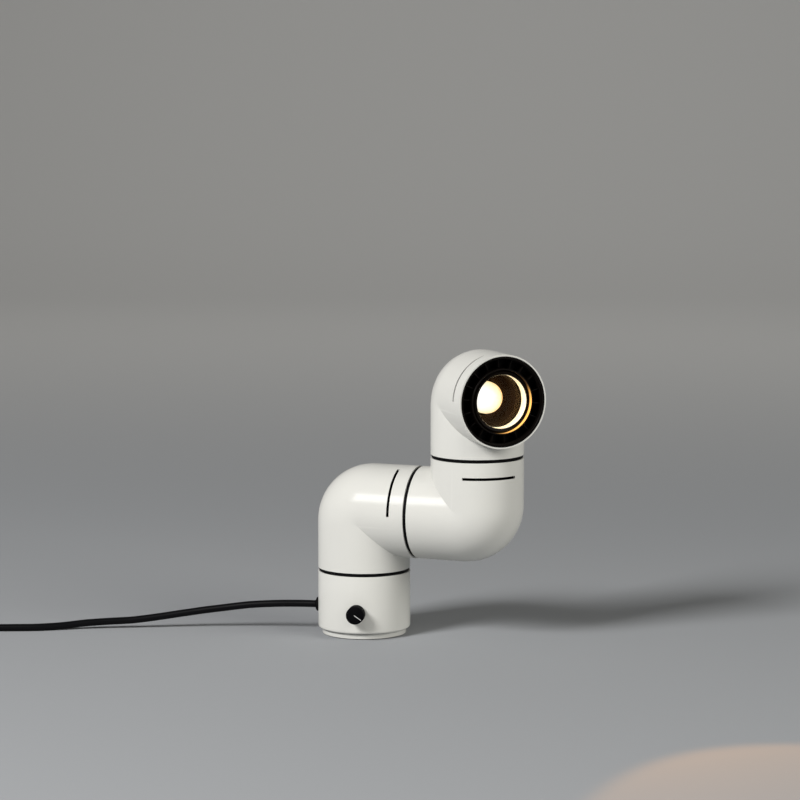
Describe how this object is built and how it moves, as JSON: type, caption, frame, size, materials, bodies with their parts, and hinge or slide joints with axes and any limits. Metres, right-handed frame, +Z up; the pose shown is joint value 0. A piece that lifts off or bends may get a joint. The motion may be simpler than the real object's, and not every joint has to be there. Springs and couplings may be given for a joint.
{
  "type": "table lamp",
  "caption": "Tubular table lamp: a weighted drum base with a dimmer knob and elbow tubes that swivel on each other, the last one holding the light behind a lens.",
  "frame": {"origin": "on the table at the centre of the base's foot, on the base's own axis", "axes": "+Z up; -Y is the way the dimmer knob faces; the mains cord leaves the base along -X"},
  "size_m": [0.6389, 0.1984, 0.2527],
  "materials": {
    "white_plastic": "satin moulded",
    "black_plastic": "satin moulded",
    "knob_black": "satin moulded",
    "pad_rubber": "matt",
    "cast_iron": "as cast, coated",
    "plated_steel": "zinc plated",
    "nickel_brass": "nickel plated",
    "copper_winding": "enamelled copper winding",
    "capacitor_yellow": "cast case",
    "circuit_board": "solder resist",
    "ivory_thermoset": "moulded thermoset",
    "wire_sleeve": "braided sleeve",
    "cord_sheath": "satin sheath",
    "gloss_black": "gloss",
    "clear_glass": "polished",
    "opal_bulb": "opal"
  },
  "bodies": {
    "base": {"base_housing": "white_plastic", "foot_cover": "white_plastic", "non_slip_pad": "pad_rubber", "ballast_weight": "cast_iron", "foot_screw_1": "plated_steel", "foot_screw_2": "plated_steel", "foot_screw_3": "plated_steel", "dimmer_board": "circuit_board", "board_screw_1": "plated_steel", "board_screw_2": "plated_steel", "dimmer_choke": "copper_winding", "dimmer_capacitor": "capacitor_yellow", "dimmer_triac": "black_plastic", "potentiometer_body": "plated_steel", "potentiometer_nut": "plated_steel", "cable_gland": "black_plastic", "gland_nut": "black_plastic", "cord_clamp": "black_plastic", "clamp_screw": "plated_steel", "terminal_block": "ivory_thermoset", "mains_lead_inside": "cord_sheath", "base_wire": "wire_sleeve", "base_swivel_ring": "black_plastic", "base_swivel_bolt": "plated_steel", "base_wave_washer": "plated_steel", "base_swivel_nut": "plated_steel", "cord_run": "cord_sheath", "cord_coil": "cord_sheath", "cord_tail": "cord_sheath", "cord_tie": "black_plastic", "plug_body": "black_plastic", "plug_pins": "nickel_brass"},
    "dimmer_knob": {"dimmer_knob": "knob_black", "knob_pointer": "white_plastic", "potentiometer_shaft": "plated_steel"},
    "lower_arm": {"lower_elbow": "white_plastic", "base_swivel_plate": "white_plastic", "middle_swivel_ring": "black_plastic", "middle_swivel_bolt": "plated_steel", "middle_wave_washer": "plated_steel", "middle_swivel_nut": "plated_steel", "arm_wire": "wire_sleeve"},
    "upper_arm": {"middle_elbow": "white_plastic", "middle_swivel_plate": "white_plastic", "head_swivel_ring": "black_plastic", "head_swivel_bolt": "plated_steel", "head_wave_washer": "plated_steel", "head_swivel_nut": "plated_steel", "riser_wire": "wire_sleeve"},
    "head": {"head_elbow": "white_plastic", "head_swivel_plate": "white_plastic", "baffle": "black_plastic", "lens_bezel": "black_plastic", "glass_lens": "clear_glass", "reflector_tube": "gloss_black", "lamp_bulb": "opal_bulb", "bulb_cap": "nickel_brass", "lamp_holder": "ivory_thermoset", "holder_bracket": "plated_steel", "head_wire": "wire_sleeve"}
  },
  "joints": [
    {"name": "base_swivel", "type": "hinge", "parent": "base", "child": "lower_arm", "pos_m": [0, 0, 0.0552], "axis": [0, 0, 1], "range_deg": [-165, 165]},
    {"name": "middle_swivel", "type": "hinge", "parent": "lower_arm", "child": "upper_arm", "pos_m": [0.04936, -0.01067, 0.1087], "axis": [0.9774, -0.2113, 0], "range_deg": [-95, 95]},
    {"name": "head_swivel", "type": "hinge", "parent": "upper_arm", "child": "head", "pos_m": [0.10165, -0.02198, 0.1592], "axis": [0, 0, 1], "range_deg": [-165, 165]},
    {"name": "dimmer_turn", "type": "hinge", "parent": "base", "child": "dimmer_knob", "pos_m": [0, -0.046, 0.0238], "axis": [0, -1, 0], "range_deg": [-25, 275]}
  ]
}
